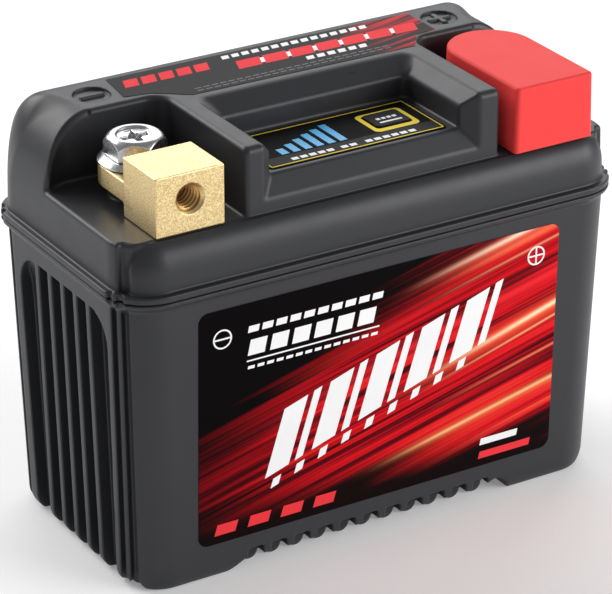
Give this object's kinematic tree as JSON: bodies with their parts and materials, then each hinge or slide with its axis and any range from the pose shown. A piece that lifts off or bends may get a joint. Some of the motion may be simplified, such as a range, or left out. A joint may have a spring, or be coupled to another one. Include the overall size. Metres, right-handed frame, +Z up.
{
  "type": "motorcycle battery",
  "caption": "Small lithium motorcycle battery with a ribbed black case, brass block terminals, a red terminal cover and a charge gauge with a test button.",
  "frame": {"origin": "middle of the underside, on the surface the battery stands on", "axes": "+X along the long front towards the positive terminal, +Y from the labelled front to the back, +Z up"},
  "size_m": [0.107, 0.055, 0.0831],
  "materials": {
    "case": "fine satin moulded plastic",
    "label": "printed film, red streaks on black",
    "overlay": "printed gloss film",
    "button": "gloss key with a white line",
    "bar": "clear blue light pipe",
    "led": "LED package",
    "board": "solder-masked circuit board",
    "switch": "moulded",
    "ribbon": "flat cable",
    "brass": "fine blasted brass",
    "chrome": "bright plated steel",
    "cap": "soft satin red plastic",
    "cell": "laminate foil",
    "foam": "foam",
    "copper": "bare copper strip"
  },
  "bodies": {
    "battery": {"case": "case", "cover": "case", "front_label": "label", "top_label": "label", "gauge_overlay": "overlay", "test_switch": "switch", "gauge_board": "board", "balance_board": "board", "gauge_ribbon": "ribbon", "gauge_screw_left": "chrome", "gauge_screw_right": "chrome", "charge_bar_1": "bar", "charge_bar_2": "bar", "charge_bar_3": "bar", "charge_bar_4": "bar", "charge_bar_5": "bar", "charge_bar_6": "bar", "charge_led_1": "led", "charge_led_2": "led", "charge_led_3": "led", "charge_led_4": "led", "charge_led_5": "led", "charge_led_6": "led", "negative_terminal": "brass", "positive_terminal": "brass", "negative_post": "brass", "positive_post": "brass", "cell_1": "cell", "cell_2": "cell", "cell_3": "cell", "cell_4": "cell", "cell_spacer_1": "foam", "cell_spacer_2": "foam", "cell_spacer_3": "foam", "base_pad": "foam", "front_pad": "foam", "back_pad": "foam", "cell_link_1": "copper", "cell_link_2": "copper", "cell_link_3": "copper", "negative_strap": "copper", "positive_strap": "copper"},
    "cap": {"positive_cap": "cap"},
    "button": {"test_button": "button", "switch_plunger": "switch"},
    "negative_washer": {"negative_washer": "chrome"},
    "negative_screw": {"negative_screw": "chrome"},
    "positive_washer": {"positive_washer": "chrome"},
    "positive_screw": {"positive_screw": "chrome"}
  },
  "joints": [
    {"name": "positive_cap_lift", "type": "slide", "parent": "battery", "child": "cap", "axis": [0, 0, 1], "range_m": [0, 0.025]},
    {"name": "test_button_press", "type": "slide", "parent": "battery", "child": "button", "axis": [0, 0, -1], "range_m": [0, 0.0004], "stiffness_N_per_m": 1500, "springref_m": -0.0002},
    {"name": "negative_screw_lift", "type": "slide", "parent": "battery", "child": "negative_washer", "axis": [0, 0, 1], "range_m": [0, 0.0056]},
    {"name": "negative_screw_turn", "type": "hinge", "parent": "negative_washer", "child": "negative_screw", "pos_m": [-0.0379, -0.0032, 0.076], "axis": [0, 0, 1], "range_deg": [0, 2520.5]},
    {"name": "positive_screw_lift", "type": "slide", "parent": "battery", "child": "positive_washer", "axis": [0, 0, 1], "range_m": [0, 0.0004]},
    {"name": "positive_screw_turn", "type": "hinge", "parent": "positive_washer", "child": "positive_screw", "pos_m": [0.0379, -0.0032, 0.076], "axis": [0, 0, 1], "range_deg": [0, 180.5]}
  ],
  "couplings": [
    {"joint": "negative_screw_turn", "follows": "negative_screw_lift", "rad_per_m": 7854},
    {"joint": "positive_screw_turn", "follows": "positive_screw_lift", "rad_per_m": 7854}
  ]
}
